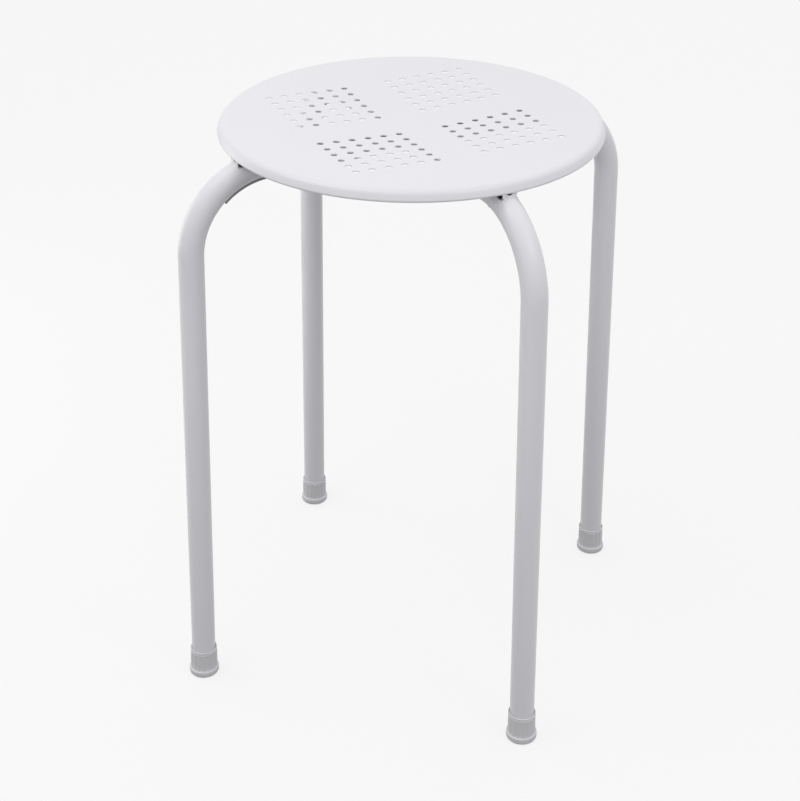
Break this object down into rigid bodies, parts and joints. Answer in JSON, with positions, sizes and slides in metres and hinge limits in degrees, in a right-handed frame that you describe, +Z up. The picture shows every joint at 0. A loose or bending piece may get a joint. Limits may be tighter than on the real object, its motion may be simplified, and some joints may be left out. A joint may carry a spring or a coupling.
{
  "type": "stacking stool",
  "caption": "Round stacking stool with a dished, perforated steel seat on bent tube legs with plastic foot ferrules.",
  "frame": {"origin": "on the floor, under the middle of the seat", "axes": "+Z up; the legs stand on the diagonals between +X and +Y"},
  "size_m": [0.2936, 0.2936, 0.45],
  "materials": {
    "powder_coated_seat": "white powder coat, smooth satin",
    "powder_coated_tube": "white powder coat, smooth satin",
    "foot_plastic": "pale grey moulded plastic",
    "pad_plastic": "grey moulded plastic"
  },
  "bodies": {
    "root": {"seat_pan": "powder_coated_seat", "leg_back_right": "powder_coated_tube", "leg_back_left": "powder_coated_tube", "leg_front_left": "powder_coated_tube", "leg_front_right": "powder_coated_tube", "weld_tab_back_right": "powder_coated_tube", "weld_tab_back_left": "powder_coated_tube", "weld_tab_front_left": "powder_coated_tube", "weld_tab_front_right": "powder_coated_tube", "stacking_pad_back_right": "pad_plastic", "stacking_pad_back_left": "pad_plastic", "stacking_pad_front_left": "pad_plastic", "stacking_pad_front_right": "pad_plastic", "foot_back_right": "foot_plastic", "foot_back_left": "foot_plastic", "foot_front_left": "foot_plastic", "foot_front_right": "foot_plastic"}
  },
  "joints": []
}
